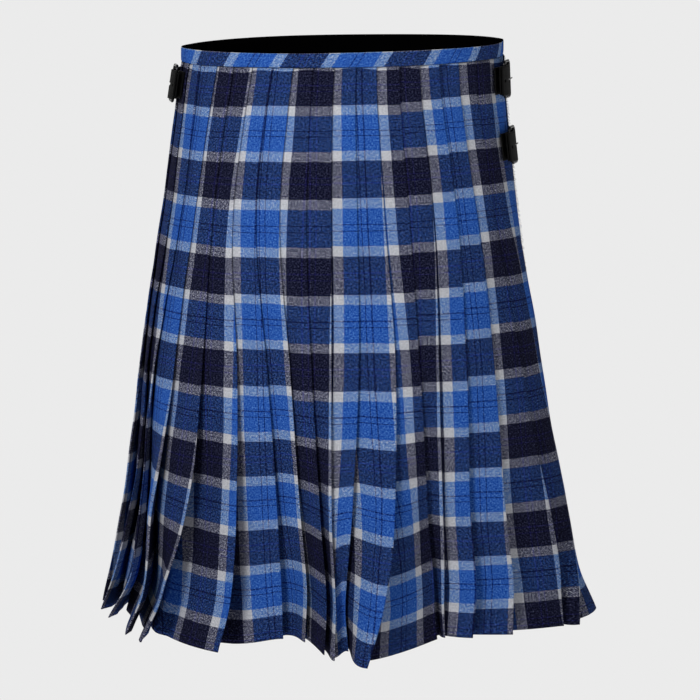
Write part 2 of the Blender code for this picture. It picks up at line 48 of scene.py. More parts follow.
# ------------------------------------------------------------------ the pleated back
# Two lengths of tartan, joined in a hidden fold and knife-pleated to the pattern, with 21 outer
# folds in all.  The pleats are pressed and stitched down to the hips.  They hang free below,
# where wear has opened some and pushed others aside.

# The form that all the cloth hangs on has the same named sizes as the solids.
WALL = 1.0                  # of the solids' cloth, whose middle the sheets follow
SEAM_GAP = 0.4
HEM = -580.0
SWING_TOP = -190.0          # below the stitching, where the pleats begin to swing
TILT_TOP = 0.016            # rise for each millimetre to the wearer's right, at the waist
TILT_HEM = -0.018
APRON_GAP = 4.2             # from the under apron's middle to the over apron's
LEVEL_COLUMNS = ("z", "half_width", "half_back", "half_front", "lean", "layer")
LEVELS = (
    (0, 167, 126, 126, -1, 1.32),
    (-40, 171, 127, 126, -3, 1.32),
    (-150, 185, 133, 130, -4, 1.34),
    (-300, 208.5, 146, 140, -4, 2.30),
    (-450, 225.5, 161, 151, -1.5, 3.80),
    (-540, 235.5, 171, 157, -2.5, 4.60),
    (-580, 246, 178, 162, 0, 5.00),
)
# One row for each outer fold, from the wearer's left: its angle at six heights, how far its edge
# stands off, how far it swings out and how far its hem dips.  The first and last rows are the
# seams where the aprons are sewn on.
FOLD_HEIGHTS = (0.0, -150.0, -300.0, -450.0, -530.0, -580.0)
FOLD_COLUMNS = ("waist", "hip", "thigh", "knee", "edge", "hem", "lift", "swing", "dip")
FOLDS = (
    (-107.0, -107.0, -108.0, -109.0, -110.2, -111.0, 0, 0, 0),
    (-95.0, -95.0, -96.0, -97.5, -99.0, -100.0, 4, 0, 0),
    (-83.5, -82.5, -82.4, -81.6, -85.4, -87.1, 6, 2, 0),
    (-71.9, -71.0, -71.5, -69.5, -72.0, -77.4, 8, 7, 2),
    (-60.3, -61.5, -65.0, -63.9, -60.4, -67.6, 16, 5, 3),
    (-49.8, -53.2, -54.0, -52.9, -50.5, -54.2, 18, 18, 9),
    (-41.5, -44.1, -41.8, -41.1, -43.7, -48.8, 38, 4, 13),
    (-33.0, -35.9, -29.8, -26.0, -24.9, -26.6, 32, 16, 8),
    (-24.8, -27.2, -20.8, -16.7, -14.7, -14.3, 8, -4, 0),
    (-17.2, -19.0, -14.0, -10.6, -8.1, -8.7, 6, 4, 0),
    (-10.0, -10.3, -7.7, -5.1, -3.1, -3.9, 12, 28, 6),
    (-2.6, -2.3, -2.1, -2.3, -1.0, -1.7, 8, 40, 11),
    (5.0, 5.8, 5.6, 2.6, 1.2, 1.2, 8, 22, 4),
    (12.2, 14.5, 15.8, 12.2, 8.6, 4.7, 22, 54, 10),
    (20.4, 22.7, 23.2, 23.0, 24.3, 23.1, 2, -2, 0),
    (28.2, 31.2, 29.4, 27.3, 27.3, 25.6, 8, -6, 0),
    (36.4, 40.5, 38.9, 35.9, 35.8, 32.2, 8, -4, 0),
    (45.0, 49.6, 49.6, 47.2, 48.4, 43.7, 10, 0, 0),
    (54.5, 59.0, 63.6, 67.0, 69.1, 64.2, 10, 3, 2),
    (65.5, 69.8, 79.8, 84.0, 79.5, 69.5, 13, 8, 3),
    (77.0, 81.0, 91.5, 98.5, 98.5, 93.0, 2, 23, 3),
    (89.0, 92.0, 100.0, 105.3, 106.5, 106.5, 0, 8, 0),
    (103.0, 104.0, 109.0, 112.0, 113.3, 114.0, 0, 0, 0),
)
LAST = len(FOLDS) - 1
JOIN = 11                   # the last fold of the left length
PLEAT_CLOTH = 122.5         # the cloth that one pleat takes up
FIRST_WHITE = 7             # at this fold a repeat of the tartan begins

# How far each fold has crept along the cloth: one row for each fold, one column for each height.
CREEP_HEIGHTS = (-60.0, -180.0, -300.0, -420.0, -500.0, -580.0)
DRIFTS = (
    (0, 0, 0, 0, 0, 0),
    (0, 0, 1, 4, 5, 6),
    (0, 1, 20, 28, 28, 15),
    (-2, -4, -4, -1, 0, 8),
    (3, -2, -20, -27, -26, -20),
    (-2, -2, -1, 6, 8, 10),
    (5, 5, 18, 28, 31, 35),
    (2, 6.5, 14, 18.5, 19, 15.5),
    (3, 3.5, 12, 17.5, 19, 16),
    (0, 0.5, 5, 3.5, 5, 7),
    (1, 6.5, 11.5, 18, 21, 23),
    (0, 0, 2, 3, 5.6, 10),
    (0, 1, 1, 1, 1, 0),
    (-1, 2.3, 5, -2.5, -5.5, -18),
    (-1, -1, -5, -2.5, 2.5, 6),
    (0, 1, 3, 3.3, 3.4, 2),
    (-2, 1, 2.5, 1.5, 3, 3),
    (-3, -2, -1, 1, 4.5, 5),
    (-3, -1.5, 11, 26, 31, 26),
    (-2, 0, 1, 1, 1, 1),
    (0, 1, 10, 10, 10, 10),
    (0, 0, 2, 4, 5, 5),
    (0, 0, 0, 0, 0, 0),
)
# How far up the weave of each panel hangs, in the same rows and columns.
HANGS = (
    (0, 0, 0, 0, 0, 0),
    (-1, 0, 0, 0, 0, 0),
    (-3, 0, 0, 0, 0, 0),
    (-4, 0, 1, 1, 0, 0),
    (-3, -2, 2, 1, 0, 0),
    (-4, -2, 0, 0, 0, 0),
    (-3.2, -2.5, -1, -1, -1, 0),
    (-1.6, -4.1, -1.5, 1, 1, -1),
    (0, -3, 1, 2.4, 1.5, 0),
    (0.5, -2.1, 2.1, 4.5, 2.1, -1),
    (0, -1.6, -1.6, -1.6, 0, 1),
    (0, -1.6, -1, 1, 2.5, 3),
    (1, 0, -1, -3.3, -8.5, -11),
    (1, 0, -1, -1, 0, -1.6),
    (0, 0, 1.8, 3.8, 2.8, 3.3),
    (2.4, 1.8, 5.2, 6.2, 2.8, -1.6),
    (3.7, 2.9, 4.3, 3.7, 0, 1.6),
    (4.9, 5.8, 8.1, 5.6, 2.2, 1),
    (5.8, 7.3, 11.2, 12, 5.5, 1),
    (4.3, 7, 8.5, 8.4, 3, 1),
    (3.3, 6.5, 6, 4, -1, 2),
    (2, 3, 3, 2, 0, 0),
    (0, 0, 0, 0, 0, 0),
)
# The panels whose weave is drawn wider towards the hem, and how many times wider.
STRETCHED = {5: 1.1, 7: 1.4, 13: 1.2, 17: 1.12, 18: 1.15, 19: 1.65, 20: 1.5}
# Where each height lies along the warp, which starts above the waist.
DROP_HEIGHTS = (0.0, -44.0, -90.0, -186.0, -283.0, -377.0, -465.0, -551.5, -580.0)
DROPS = (57.0, 103.2, 152.2, 250.2, 348.2, 446.2, 544.2, 642.2, 673.0)


def smooth_table(heights, values, z):
    """A smooth curve through the values at their heights, read at z."""
    if z >= heights[0]:
        return values[0]
    if z <= heights[-1]:
        return values[-1]
    i = 0
    while heights[i + 1] > z:
        i += 1
    span = heights[i] - heights[i + 1]
    t = (heights[i] - z) / span

    def slope(j):
        a, b = max(j - 1, 0), min(j + 1, len(values) - 1)
        return (values[b] - values[a]) / (heights[a] - heights[b])

    return ((2 * t**3 - 3 * t**2 + 1) * values[i] + (t**3 - 2 * t**2 + t) * span * slope(i)
            + (-2 * t**3 + 3 * t**2) * values[i + 1] + (t**3 - t**2) * span * slope(i + 1))


def along_rows(rows, t):
    """Every column of the rows on a smooth curve through them, t counting rows."""
    k = min(int(t), len(rows) - 2)
    t -= k
    p0, p1 = rows[max(k - 1, 0)], rows[k]
    p2, p3 = rows[k + 1], rows[min(k + 2, len(rows) - 1)]
    return tuple(0.5 * (2 * b + (c - a) * t + (2 * a - 5 * b + 4 * c - d) * t**2
                        + (3 * b - a - 3 * c + d) * t**3) for a, b, c, d in zip(p0, p1, p2, p3))


def eased(share):
    """A share that starts and ends softly, held between 0 and 1."""
    share = min(max(share, 0.0), 1.0)
    return share * share * (3 - 2 * share)


def level(z, column):
    """A named size of the form at one height."""
    place = LEVEL_COLUMNS.index(column)
    return smooth_table([row[0] for row in LEVELS], [row[place] for row in LEVELS], z)


def drop_at(z):
    """The place along the warp at one height."""
    return smooth_table(DROP_HEIGHTS, DROPS, z)


def ramp(z):
    """0 where the pleats are stitched, 1 at the hem."""
    return eased((SWING_TOP - z) / (SWING_TOP - HEM))


def fold_value(index, column, z):
    """A fold's angle at one height, or what it lifts, swings or dips there."""
    if column == "angle":
        return smooth_table(FOLD_HEIGHTS, FOLDS[index][:len(FOLD_HEIGHTS)], z)
    return FOLDS[index][FOLD_COLUMNS.index(column)] * ramp(z) ** 2


def around(angle, z, out=0.0, drop=0.0):
    """The point in metres of the plain outer form at an angle and height, moved out and down."""
    a = math.radians(angle)
    half_width = level(z, "half_width")
    half_depth = level(z, "half_back" if math.cos(a) > 0 else "half_front")
    normal = Vector((math.sin(a) / half_width, -math.cos(a) / half_depth)).normalized()
    x = level(z, "lean") + half_width * math.sin(a) + normal.x * out
    y = -half_depth * math.cos(a) + normal.y * out
    t = z / HEM
    return Vector((x, y, z - drop + x * (TILT_TOP * (1 - t) + TILT_HEM * t))) * MM


class Value:
    """A number in a material's node tree; arithmetic adds Math nodes."""

    def __init__(self, tree, socket):
        self.tree, self.socket = tree, socket

    def node(self, kind, *inputs, output=0, stops=(), **settings):
        """Any node: its settings, then its sockets in order, None leaving one as it is.

        A ramp's stops are pairs of a position and a colour, the first at 0."""
        made = self.tree.nodes.new(kind)
        for name, setting in settings.items():
            setattr(made, name, setting)
        if stops:
            bands = made.color_ramp.elements
            made.color_ramp.interpolation = "CONSTANT"
            bands.remove(bands[-1])
            bands[0].color = stops[0][1]
            for position, colour in stops[1:]:
                bands.new(position).color = colour
        for slot, value in zip(made.inputs, inputs):
            if isinstance(value, Value):
                self.tree.links.new(value.socket, slot)
            elif value is not None:
                slot.default_value = value
        return Value(self.tree, made.outputs[output])

    def math(self, operation, *others):
        return self.node("ShaderNodeMath", self, *others, operation=operation)

    def __add__(self, other):
        return self.math("ADD", other)

    __radd__ = __add__

    def __sub__(self, other):
        return self.math("SUBTRACT", other)

    def __rsub__(self, other):
        return self.node("ShaderNodeMath", other, self, operation="SUBTRACT")

    def __mul__(self, other):
        return self.math("MULTIPLY", other)

    __rmul__ = __mul__

    def __truediv__(self, other):
        return self.math("DIVIDE", other)

    def __pow__(self, other):
        return self.math("POWER", other)

    def __mod__(self, other):
        return self.math("FLOORED_MODULO", other)

    def floor(self):
        return self.math("FLOOR")

    def below(self, other):
        return self.math("LESS_THAN", other)

    def near(self, other, reach):
        return self.math("COMPARE", other, reach)

    def noise(self, scale, detail, roughness):
        return self.node("ShaderNodeTexNoise", self, None, scale, detail, roughness)

    def grey(self):
        return self.node("ShaderNodeCombineColor", self, self, self)

    def into(self, socket):
        self.tree.links.new(self.socket, socket)


def new_material(name, roughness, **constants):
    """A Principled material, its shader's inputs and a Value to start its maths from."""
    material = bpy.data.materials.new(name)
    material.use_nodes = True
    inputs = material.node_tree.nodes["Principled BSDF"].inputs
    inputs["Roughness"].default_value = roughness
    for key, value in constants.items():
        inputs[key.replace("_", " ")].default_value = value
    return material, inputs, Value(material.node_tree, None)


# The tartan's stripes, the same in warp and weft, as a start in millimetres and a colour name.
SETT = 98.0
THREAD = 0.55
WHITE_STRIPE = 10.3
STRIPES = (
    (0.0, "white"), (WHITE_STRIPE, "blue"), (26.0, "dark"), (27.3, "blue"), (32.2, "dark"),
    (33.5, "blue"), (49.0, "white"), (49.0 + WHITE_STRIPE, "navy"), (75.0, "violet"),
    (76.3, "navy"), (81.2, "violet"), (82.5, "navy"),
)
YARNS = {
    "white": (0.722, 0.727, 0.750),
    "blue": (0.184, 0.343, 0.648),
    "dark": (0.085, 0.135, 0.330),
    "navy": (0.116, 0.122, 0.195),
    "violet": (0.125, 0.125, 0.310),
}
GAMMA = 2.2
DEEPEN = 4.0                # yarns mix darker than their plain mean, as if each shades the next
TWILL_CONTRAST = 0.2        # how far the upper yarn outweighs the lower one
FUZZ = 1.9                  # how unevenly the two yarns cover each other
UNDERCUT_AND_SHADE = 0.05             # how far the darker of two crossing yarns shows through, partly real and partly painted shade between them
HEATHER = 1.5               # how far the depth of a yarn's colour varies
MIDDLE_DEPTH = 1.02         # the middle of that range, where 1 is the yarn's own colour
# Spots of uneven yarn, and of the painted glints of its fibres, as the number in a metre, the
# detail and the roughness of a noise.
COVER_SPOTS = (610.0, 1.0, 0.6)
HEATHER_SPOTS = (570.0, 1.0, 0.6)
FIBRE_SPOTS = (1500.0, 2.0, 0.6)
WEAR_SPOTS = (38.0, 3.0, 0.55)
HEM_STITCH = 665.0          # where on the warp the turned hem is stitched
STITCH_HALF = 0.6           # half the height of that line
STITCH_SHADE = 0.35


def yarn_colour(value, along):
    """The yarn's colour, encoded for mixing, from its distance in metres along the repeat."""
    stops = [(start / SETT, (*[part ** (1 / DEEPEN) for part in YARNS[name]], 1))
             for start, name in STRIPES]
    thread = ((along / (THREAD * MM)).floor() + 0.5) * (THREAD / SETT)
    return value.node("ShaderNodeValToRGB", thread % 1.0, stops=stops)


def mixed_colour(share, first, second, blend="MIX"):
    """Two colours mixed by a share, which may be a number."""
    return first.node("ShaderNodeMix", share, None, None, None, None, None, first, second,
                      output=2, data_type="RGBA", blend_type=blend)


def tartan(name, threads_only=False):
    """A 2/2 twill of striped yarns.  UV is the place on the cloth in metres."""
    material, inputs, value = new_material(name, 0.9, Specular_IOR_Level=0.04)
    uv = value.node("ShaderNodeUVMap", uv_map="cloth")
    u = value.node("ShaderNodeSeparateXYZ", uv, output=0)
    v = value.node("ShaderNodeSeparateXYZ", uv, output=1)
    weft, warp = yarn_colour(value, v), yarn_colour(value, u)
    i, j = u / (THREAD * MM), v / (THREAD * MM)
    warp_up = ((i.floor() - j.floor()) % 4.0).below(1.5)
    if threads_only:
        mixed = weft
    else:
        share = (warp_up * (2 * TWILL_CONTRAST) + uv.noise(*COVER_SPOTS) * FUZZ
                 + (0.5 - TWILL_CONTRAST - FUZZ / 2))
        # the darker yarn shows through where two cross, partly a painted shade
        mixed = mixed_colour(UNDERCUT_AND_SHADE, mixed_colour(share, weft, warp),
                             mixed_colour(1.0, weft, warp, "DARKEN"))
    # each thread is round: a painted shade darkens it towards its edges and its bump rounds it, and
    # fibres that catch the light are painted glints
    across = (i % 1.0) * warp_up + (j % 1.0) * (1.0 - warp_up)
    round_thread_shade = 1.05 - ((across - 0.5) ** 2.0) * 0.6
    fibres = uv.noise(*FIBRE_SPOTS)
    stitched = v.near(HEM_STITCH * MM, STITCH_HALF * MM)
    # painted shade of the round threads and painted fibre glints, with the wear spots and the hem
    # stitch line, scale the colour
    painted_shade_and_wear = (round_thread_shade * (fibres * 0.5 + 0.75) * (uv.noise(*WEAR_SPOTS) * 0.3 + 0.85)
             * (1.0 - stitched * STITCH_SHADE))
    depth = (MIDDLE_DEPTH + HEATHER / 2 - uv.noise(*HEATHER_SPOTS) * HEATHER) * (GAMMA * DEEPEN)
    coloured = value.node("ShaderNodeGamma", mixed, depth)
    coloured.node("ShaderNodeVectorMath", coloured, None, None, painted_shade_and_wear,
                  operation="SCALE").into(inputs["Base Color"])
    value.node("ShaderNodeBump", 0.35, 0.0003, None,
               round_thread_shade + fibres * 0.5).into(inputs["Normal"])
    return material


kilt_tartan = tartan("kilt_tartan_twill")


def add_object(name, data):
    """A new object in the scene."""
    made = bpy.data.objects.new(name, data)
    bpy.context.scene.collection.objects.link(made)
    return made


def grid_piece(name, columns, rows, place, material, thickness, holes=()):
    """A sheet whose grid points place(column, row) moves, giving each a point and its UV."""
    mesh = bmesh.new()
    bmesh.ops.create_grid(mesh, x_segments=columns, y_segments=rows, size=1.0)
    uv = mesh.loops.layers.uv.new("cloth")
    spots, cells = {}, {}
    for vert in mesh.verts:
        column, row = (vert.co.x + 1) / 2 * columns, (1 - vert.co.y) / 2 * rows
        spots[vert] = place(round(column), round(row))
    for face in mesh.faces:
        middle = face.calc_center_median()
        cell = (int((middle.x + 1) / 2 * columns), int((1 - middle.y) / 2 * rows))
        cells[cell] = face
        for loop in face.loops:
            loop[uv].uv = spots[loop.vert][1]
    for vert, (point, _) in spots.items():
        vert.co = point
    if holes:
        bmesh.ops.delete(mesh, geom=[cells[cell] for cell in holes], context="FACES")
    data = bpy.data.meshes.new(name)
    mesh.to_mesh(data)
    mesh.free()
    data.shade_smooth()
    data.materials.append(material)
    piece = add_object(name, data)
    if thickness:
        shell = piece.modifiers.new("cloth", "SOLIDIFY")
        shell.thickness = thickness * MM
        shell.offset = 0.0
    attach(piece, "root")
    return piece


# Each pleat is one panel that shows, a pressed fold, and a panel that runs back underneath to a
# hidden fold, where the next pleat starts.  Phase counts the outer folds from the wearer's left,
# and the places of a panel's points are shares of its width, 0 at the last fold and 1 at its own.
CLOTH = 0.7
FOLD_HALF = 0.62            # half the height of a pressed fold, middle to middle of its two plies
ROWS = 112
ROW_HEIGHTS = [-SEAM_GAP + (HEM + SEAM_GAP) * row / ROWS for row in range(ROWS + 1)]
SHOWN = [0.0, 0.1, 0.22, 0.34, 0.46, 0.58, 0.7, 0.8, 0.88, 0.94, 0.975]
HIDDEN = [-1.67, -1.33, -1.0, -0.67, -0.33]
RETURN = [0.97, 0.93, 0.86, 0.75, 0.5, 0.25, 0.0, -0.33, -0.67, -1.0]
NOSE = [-60, -20, 20, 60]   # degrees round the outer fold
NOSE_CLOTH = 0.7            # the cloth from the fold's edge to where its underside is flat
TUCK = [-50, 0, 50]         # degrees round the hidden fold
TUCK_CLOTH = 0.5            # the cloth from one point of the hidden fold to the next
UNDER_SHARE = 0.6           # of a pleat's hidden cloth, the share that lies in its inner panel
FIRST_TUCK = 0.06           # the phase of the hidden folds of the first pleats
TUCK_SHARE = 0.2            # how round a hidden fold is, as a share of its layer
FULL_LIFT_PITCH = 30.0      # folds closer than this lift less
LIFT_POWER = 1.25           # a panel rises as this power of the distance along it
OPENING_SHARE = 0.55        # of a fold's lift, how far its two plies part
OPENING_MOST = 5.0
PLIES_APART = 10.0          # how far in from the fold's edge they have parted
SEAM_PEEK = 30.0            # how far below the waist the seam has pulled the weave askew


def sway(phase, z):
    """The soft unevenness that all layers share, slight where stitched."""
    loose = ramp(z)
    return ((0.35 + 1.5 * loose) * math.sin(1.9 * phase + z * 0.017)
            + (0.30 + 0.8 * loose) * math.sin(3.7 * phase - z * 0.031 + 1.0)
            + 0.25 * math.sin(5.3 * phase + z * 0.083))


def evened(points, room, reach=1.0):
    """Places along the cloth, true to length at first, evened out to end at room.

    The points cover one part in reach of the whole run."""
    runs = [0.0]
    for near, far in zip(points, points[1:]):
        runs.append(runs[-1] + (far - near).length / MM)
    whole = runs[-1] * reach
    squeeze = whole / max(room, 3.0) - 1
    return [run / (1 + squeeze * run / whole) for run in runs[1:]]


def cloth_line(z, first, last):
    """The points of the cloth at one height, each with its place along and down the cloth."""
    folds = [[fold_value(k, name, z) for name in ("angle", "swing", "dip")]
             for k in range(LAST + 1)]
    layer = level(z, "layer")

    def spot(phase, depth):
        angle, swing, dip = along_rows(folds, min(max(phase, 0.0), LAST))
        edge = min(phase, LAST - phase, 1.0)
        return around(angle, z, swing + sway(phase, z) * max(edge, 0) - depth, dip)

    def fold_u(i):
        return PLEAT_CLOTH * (i - FIRST_WHITE) + smooth_table(CREEP_HEIGHTS, DRIFTS[i], z)

    def panel(i):
        """The panel that shows before fold i: pitch, lift, depths, points and their lengths."""
        pitch = (spot(i, 0) - spot(i - 1, 0)).length / MM
        lift = fold_value(i, "lift", z) * min(pitch / FULL_LIFT_PITCH, 1.0)

        def depth_of(s):
            return 2 * layer * (1 - s) - lift * max(s, 0.0) ** LIFT_POWER

        points = [spot(i - 1 + s, depth_of(s)) for s in (*SHOWN, 1.0)]
        lengths = [0.0]
        stretch = 1 + (STRETCHED.get(i, 1.0) - 1) * ramp(z)
        for k in range(len(points) - 1, 0, -1):
            lengths.insert(0, lengths[0] + (points[k] - points[k - 1]).length / MM / stretch)
        return pitch, lift, depth_of, points[:-1], lengths

    hangs = [smooth_table(CREEP_HEIGHTS, row, z) for row in HANGS]
    line = []
    for i in range(first, last + 1):
        pitch, lift, depth_of, points, lengths = panel(i)

        def down(share, other):
            """Down the warp, from this panel's hang at 0 to halfway to another's at 1."""
            return drop_at(z) + hangs[i] + (hangs[other] - hangs[i]) * share / 2

        # the start of the panel, from its hidden fold to where it comes out
        if i > 1:
            start = fold_u(i) - lengths[0]
            marks = [s for s in ([-2.0] if i == first else []) + HIDDEN if i - 1 + s > 0]
            inner = [spot(i - 1 + s, depth_of(s)) for s in marks]
            lies = evened([points[0]] + inner[::-1], (start - fold_u(i - 1)) * UNDER_SHARE,
                          -2.0 / marks[0])
            line += [(point, start - run, down(s / -2, i - 1))
                     for s, point, run in zip(marks, inner, lies[::-1])]
        # the panel that shows
        line += [(point, fold_u(i) - length, down(0, i)) for point, length in zip(points, lengths)]
        if i == LAST:
            line.append((spot(i, 0.0), fold_u(i), down(0, i)))
            continue
        # round the pressed fold
        half = FOLD_HALF * math.sqrt(1 + (lift / pitch) ** 2)
        top = depth_of(1.0)
        for turn in NOSE:
            a = math.radians(turn)
            inward = FOLD_HALF / pitch * (1 - math.cos(a))
            line.append((spot(i - inward, top + half * (1 + math.sin(a))),
                         fold_u(i) + FOLD_HALF * a, down(0, i)))
        # the panel that runs back underneath
        opening = min(OPENING_SHARE * lift, OPENING_MOST)
        end = max(i - 2, FIRST_TUCK)
        outer = [line[-1][0]]
        marks = [s for s in RETURN if i - 1 + s >= end]
        for s in marks:
            gap = layer + opening * max(s, 0.0) ** LIFT_POWER
            near = eased((1 - s) * pitch / PLIES_APART)
            gap = 2 * half * (1 - near) + gap * near
            outer.append(spot(i - 1 + s, depth_of(s) + gap))
        hidden = fold_u(i + 1) - panel(i + 1)[4][0] - fold_u(i)
        lies = evened(outer, hidden * (1 - UNDER_SHARE) - NOSE_CLOTH)
        line += [(point, fold_u(i) + NOSE_CLOTH + run, down((1 - s) / 2, i + 1))
                 for s, point, run in zip(marks, outer[1:], lies)]
        # round the hidden fold
        for turn in TUCK if i < last else ():
            a = math.radians(turn)
            depth = 2 * layer * (i - end) + layer * (1.5 + 0.5 * math.sin(a))
            line.append((spot(end + TUCK_SHARE * layer / pitch * (1 - math.cos(a)), depth),
                         line[-1][1] + TUCK_CLOTH, line[-1][2]))
    return line


def seam_pull(point, z):
    """How far up the seam at the waist draws the weave: unevenly, and less on the right."""
    turn = math.atan2(point.x, -point.y)
    pull = 0.8 * math.sin(3 * turn + 0.6) + 0.9 * math.sin(17 * turn) - 0.5
    return (pull - 4.6 * eased(turn / 0.9)) * eased(1 + z / SEAM_PEEK)


def pleated_cloth(name, first, last):
    """One length of the pleats, from its first outer fold to its last."""
    lines = [cloth_line(z, first, last) for z in ROW_HEIGHTS]

    def place(column, row):
        point, u, v = lines[row][column]
        return point, (u * MM, (v + seam_pull(point, ROW_HEIGHTS[row])) * MM)

    piece = grid_piece(name, len(lines[0]) - 1, ROWS, place, kilt_tartan, CLOTH)
    return piece


pleats_left = pleated_cloth("cloth_pleats_left", 1, JOIN)
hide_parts("pleated_back_left")
pleats_right = pleated_cloth("cloth_pleats_right", JOIN + 1, LAST)
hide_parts("pleated_back_right")

# ------------------------------------------------------------------ the aprons
# Two flat fronts of the same tartan, each sewn to one end of the pleats.  The over apron crosses
# the under apron and ends on the wearer's right.  Angles count from the centre back by way of the
# wearer's left.
APRON_EDGE = (99.5, 102.0, 108.0, 111.0, 112.8, 114.0)
UNDER_EDGE = 118.0
APRON_COLUMNS = 90


def left_seam(z):
    """Where the over apron is sewn to the pleats."""
    return -fold_value(0, "angle", z)


def right_seam(z):
    """Where the under apron is sewn to the pleats."""
    return 360.0 - fold_value(LAST, "angle", z)


def apron_depth(angle, z):
    """How far behind the outer form the over apron's middle lies."""
    left, right = left_seam(z), right_seam(z)
    share = min(max((angle - left) / (right - left), 0.0), 1.0)
    return 2 * level(z, "layer") * (1 - share) - APRON_GAP * share


def swell(angle, z):
    """The soft, uneven waves that both fronts share, none at their seams."""
    left, right = left_seam(z), right_seam(z)
    inside = eased((angle - left) / 14) * eased((right - angle) / 14)
    down = eased(-z / 560.0)
    a = math.radians(angle)
    return inside * ((0.3 + 3.4 * down) * math.sin(5.0 * a + 0.6 + z * 0.0016)
                     + (0.2 + 1.8 * down) * math.sin(9.0 * a - 1.1 - z * 0.0034)
                     + 0.5 * math.sin(13.0 * a + z * 0.021) * (0.4 + down))


def degrees_for(length, angle, z):
    """The angle that a length takes up on the form."""
    reach = (around(angle + 0.5, z) - around(angle - 0.5, z)).length
    return length * MM / reach


def apron(name, edges, depth, place_u):
    """A flat front between two edges.

    place_u gives the place along the cloth from a point's length from the edge, the length of
    its row and that of the top row."""
    rows = []
    top = None
    for z in ROW_HEIGHTS:
        first, last = edges(z)
        angles = [last + (first - last) * k / APRON_COLUMNS for k in range(APRON_COLUMNS + 1)]
        points = [around(-a, z, swell(a, z) - depth(a, z)) for a in angles]
        lengths = [0.0]
        for before, after in zip(points, points[1:]):
            lengths.append(lengths[-1] + (after - before).length / MM)
        top = top or lengths[-1]
        rows.append([(point, (place_u(length, lengths[-1], top) * MM, drop_at(z) * MM))
                     for point, length in zip(points, lengths)])
    return grid_piece(name, APRON_COLUMNS, ROWS, lambda c, r: rows[r][c], kilt_tartan, CLOTH)


def over_edges(z):
    """The over apron's angles, from its seam to its free edge."""
    first = left_seam(z)
    last = 360.0 - smooth_table(FOLD_HEIGHTS, APRON_EDGE, z)
    return first + degrees_for(SEAM_GAP, first, z), last


def under_edges(z):
    """The under apron's angles, from its free edge to its seam."""
    last = right_seam(z)
    return UNDER_EDGE, last - degrees_for(SEAM_GAP, last, z)


def over_u(length, whole, top):
    """Ends at the pleats' first fold, with its stripes upright down its middle."""
    return -PLEAT_CLOTH * FIRST_WHITE + length - (whole + top) / 2


def under_u(length, whole, top):
    """Starts at the pleats' last fold, with its stripes upright down its middle."""
    return PLEAT_CLOTH * (LAST - FIRST_WHITE) + length - (whole - top) / 2


over = apron("cloth_over_apron", over_edges, apron_depth, over_u)
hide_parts("over_apron")
under = apron("cloth_under_apron", under_edges, lambda a, z: apron_depth(a, z) + APRON_GAP, under_u)
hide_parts("under_apron")

# ------------------------------------------------------------------ the frayed edge
# The over apron's free edge is left as a fringe: a narrow strip of its weave, and the loose weft
# threads that stand out past the last warp.
FRINGE_STRIP = 3.0
FRINGE_LENGTH = 8.5
FRINGE_THREADS = 460
FRINGE_THREAD_RADIUS = 0.30
FRINGE_TOP = -1.4
FRINGE_HEIGHT = -HEM - 4.4
FRINGE_U = -2000.0          # its place along the cloth, far from every other piece's


def beside_edge(z, reach, out):
    """A point past the over apron's free edge at one height."""
    edge = over_edges(z)[1]
    angle = edge + degrees_for(reach, edge, z)
    return around(-angle, z, APRON_GAP + out)


def strip_spot(c, r):
    """A point of the strip of weave beside the free edge, and its place on the cloth."""
    z = FRINGE_TOP - FRINGE_HEIGHT * r / ROWS
    return (beside_edge(z, SEAM_GAP + FRINGE_STRIP * (3 - c) / 3, 0.0),
            ((FRINGE_U + c) * MM, drop_at(z) * MM))


strip = grid_piece("cloth_fringe_strip", 3, ROWS, strip_spot, kilt_tartan, CLOTH)
frayed_yarn = tartan("frayed_yarn", threads_only=True)
threads = bmesh.new()
thread_uv = threads.loops.layers.uv.new("cloth")
for number in range(FRINGE_THREADS):
    height = -2.0 + (HEM + 5.0) * (number + random.random() * 0.6) / FRINGE_THREADS
    length = FRINGE_LENGTH * random.uniform(0.75, 1.15)
    droop, curl = random.uniform(-0.5, 3.2), random.uniform(-0.9, 0.9)
    rings = []
    for k in range(5):
        t = k / 4
        centre = beside_edge(max(height - droop * t * t, HEM + 0.6),
                             SEAM_GAP + FRINGE_STRIP + length * t - 0.3,
                             curl * t * t + 0.25 * math.sin(number + 5 * t))
        radius = FRINGE_THREAD_RADIUS * (1 - 0.45 * t) * MM
        rings.append([threads.verts.new(centre + Vector((0.3 * math.cos(a), math.cos(a),
                                                         math.sin(a))) * radius)
                      for a in (0.0, 2.1, 4.2)])
    for near, far in zip(rings, rings[1:]):
        for a in range(3):
            face = threads.faces.new((near[a], near[a - 1], far[a - 1], far[a]))
            for loop in face.loops:
                loop[thread_uv].uv = (0, drop_at(height) * MM)
    threads.faces.new(rings[0])
    threads.faces.new(rings[-1])
bmesh.ops.recalc_face_normals(threads, faces=threads.faces)
fringe_data = bpy.data.meshes.new("fringe_threads")
threads.to_mesh(fringe_data)
threads.free()
fringe_data.materials.append(frayed_yarn)
fringe = add_object("fringe_threads", fringe_data)
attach(fringe, "root")
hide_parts("apron_fringe")

